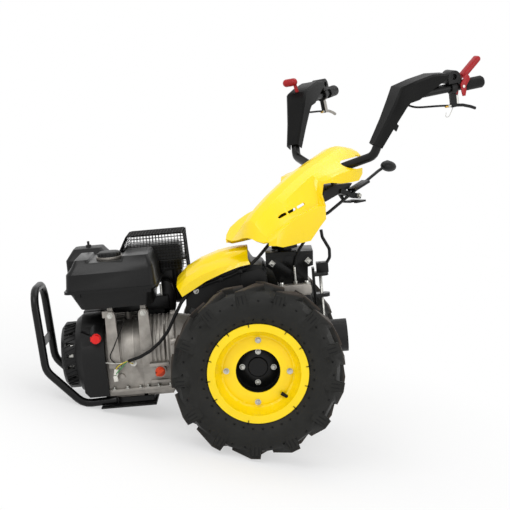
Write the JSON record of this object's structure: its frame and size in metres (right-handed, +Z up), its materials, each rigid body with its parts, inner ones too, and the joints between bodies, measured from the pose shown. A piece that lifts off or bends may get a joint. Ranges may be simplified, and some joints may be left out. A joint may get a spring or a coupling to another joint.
{
  "type": "walking tractor",
  "caption": "Two-wheel walking tractor with a front petrol engine, lugged tyres, yellow cowl, and a handlebar that swings sideways, parked on its front guard.",
  "frame": {"origin": "on the floor, under the middle of the parked machine's outline", "axes": "+X to the rear, along the ground away from the engine; +Y to the machine's right; +Z up"},
  "size_m": [1.253, 0.9596, 1.296],
  "materials": {
    "yellow_paint": "glossy bright yellow",
    "rim_paint": "glossy bright yellow",
    "black_paint": "satin black",
    "black_plastic": "fine-grained black",
    "engine_alloy": "cast, light grey",
    "gear_case": "cast and painted dark grey",
    "zinc": "zinc plated",
    "tyre_rubber": "dull black",
    "grip_rubber": "dull black",
    "cable_sheath": "black sheath",
    "red_plastic": "dark red",
    "orange_plastic": "orange red"
  },
  "bodies": {
    "chassis": {"gearbox": "gear_case", "gearbox_lid": "engine_alloy", "axle_housings": "gear_case", "implement_socket": "gear_case", "clutch_bell": "engine_alloy", "socket_yoke": "black_paint", "socket_pin": "zinc", "shift_rod": "black_paint", "column_bracket": "black_paint", "rear_cover": "yellow_paint", "inner_shroud": "black_plastic", "crankcase": "engine_alloy", "crankcase_cover": "engine_alloy", "engine_cylinder": "engine_alloy", "cylinder_shroud": "black_paint", "wiring_conduit": "cable_sheath", "clutch_cable": "cable_sheath", "fan_housing": "black_paint", "recoil_starter": "black_plastic", "fuel_tank": "black_paint", "tank_cap": "black_plastic", "air_filter": "black_plastic", "carburettor": "engine_alloy", "muffler": "black_paint", "muffler_guard": "black_paint", "dipstick": "orange_plastic", "stop_switch": "red_plastic", "front_guard": "black_paint", "engine_cradle": "black_paint"},
    "handlebar": {"swivel_column": "black_paint", "hood": "yellow_paint", "handle_tubes": "black_paint", "handle_shells": "black_paint", "grips": "grip_rubber", "lever_clamps": "black_paint", "safety_levers": "red_plastic", "brake_levers": "black_paint", "brake_cables": "cable_sheath", "gear_lever": "black_paint", "lever_gate": "black_paint"},
    "wheel_left": {"tyre_left": "tyre_rubber", "rim_left": "rim_paint", "hub_left": "black_paint"},
    "wheel_right": {"tyre_right": "tyre_rubber", "rim_right": "rim_paint", "hub_right": "black_paint"}
  },
  "joints": [
    {"name": "wheel_left_spin", "type": "hinge", "parent": "chassis", "child": "wheel_left", "pos_m": [0.0963, -0.4098, 0.2575], "axis": [0, 1, 0], "continuous": true},
    {"name": "wheel_right_spin", "type": "hinge", "parent": "chassis", "child": "wheel_right", "pos_m": [0.0963, 0.0602, 0.2575], "axis": [0, 1, 0], "continuous": true},
    {"name": "handlebar_swing", "type": "hinge", "parent": "chassis", "child": "handlebar", "pos_m": [0.11008, -0.1748, 0.59276], "axis": [-0.2887, 0, 0.9574], "range_deg": [-84, 0]}
  ]
}
